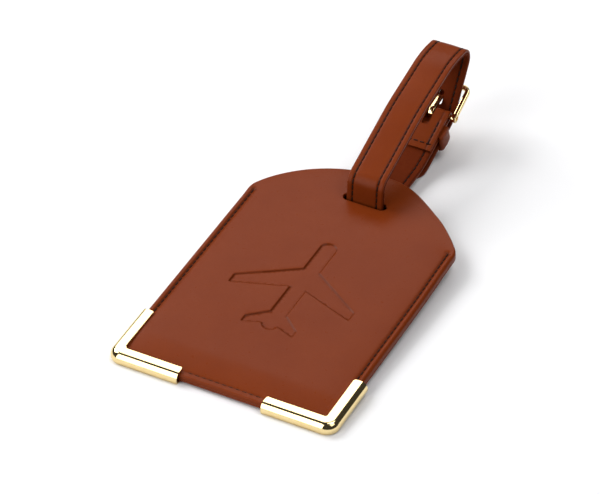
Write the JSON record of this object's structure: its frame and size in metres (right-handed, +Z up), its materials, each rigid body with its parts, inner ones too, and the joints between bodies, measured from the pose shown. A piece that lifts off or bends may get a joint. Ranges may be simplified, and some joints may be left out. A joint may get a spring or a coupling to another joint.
{
  "type": "luggage tag",
  "caption": "Leather luggage tag with a domed body, a card pocket with a rear window, metal corner guards, and a stitched strap loop closed by a small buckle and keeper.",
  "frame": {"origin": "on the surface the tag lies on, under the middle of its overall size", "axes": "+X across the tag, +Y from the square end towards the strap loop, +Z up out of the tag's front"},
  "size_m": [0.0722, 0.1561, 0.0312],
  "materials": {
    "leather": "smooth, semi-gloss",
    "leather_inside": "smooth, satin",
    "thread": "waxed thread",
    "brass": "polished",
    "board": "plain board",
    "lining": "thin lining cloth",
    "card": "uncoated card",
    "film": "clear film"
  },
  "bodies": {
    "tag": {"front_panel": "leather", "stiffener_board": "board", "pocket_lining": "lining", "pocket_spacer": "board", "window_film": "film", "back_panel": "leather", "side_seam_left": "thread", "side_seam_right": "thread", "bottom_seam": "thread", "corner_guard_left": "brass", "corner_guard_right": "brass"},
    "card": {"id_card": "card"},
    "strap": {"strap_outer": "leather", "strap_lining": "leather_inside", "strap_slot_outer": "leather", "strap_slot_lining": "leather_inside", "buckle_end_outer": "leather", "buckle_end_lining": "leather_inside", "strap_seams": "thread", "strap_slot_seams": "thread", "buckle_end_seams": "thread", "fold_seam": "thread"},
    "buckle": {"buckle_frame": "brass", "heel_bar": "brass"},
    "tongue": {"buckle_tongue": "brass"},
    "keeper": {"keeper": "leather"}
  },
  "joints": [
    {"name": "card_slide", "type": "slide", "parent": "tag", "child": "card", "axis": [0, 0.999, 0.0454], "range_m": [0, 0.0016]},
    {"name": "strap_swing", "type": "hinge", "parent": "tag", "child": "strap", "pos_m": [0, 0.0236, 0.00458], "axis": [1, 0, 0], "range_deg": [-5, 20], "deforming": ["strap_slot_outer", "strap_slot_lining", "strap_slot_seams"]},
    {"name": "buckle_turn", "type": "hinge", "parent": "strap", "child": "buckle", "pos_m": [0, 0.06403, 0.01142], "axis": [1, 0, 0], "range_deg": [-4, 0]},
    {"name": "tongue_turn", "type": "hinge", "parent": "buckle", "child": "tongue", "pos_m": [0, 0.06403, 0.01142], "axis": [1, 0, 0], "range_deg": [-6, 0]},
    {"name": "keeper_slide", "type": "slide", "parent": "strap", "child": "keeper", "axis": [0, 0.9385, 0.3453], "range_m": [-0.0025, 0.0018]}
  ]
}
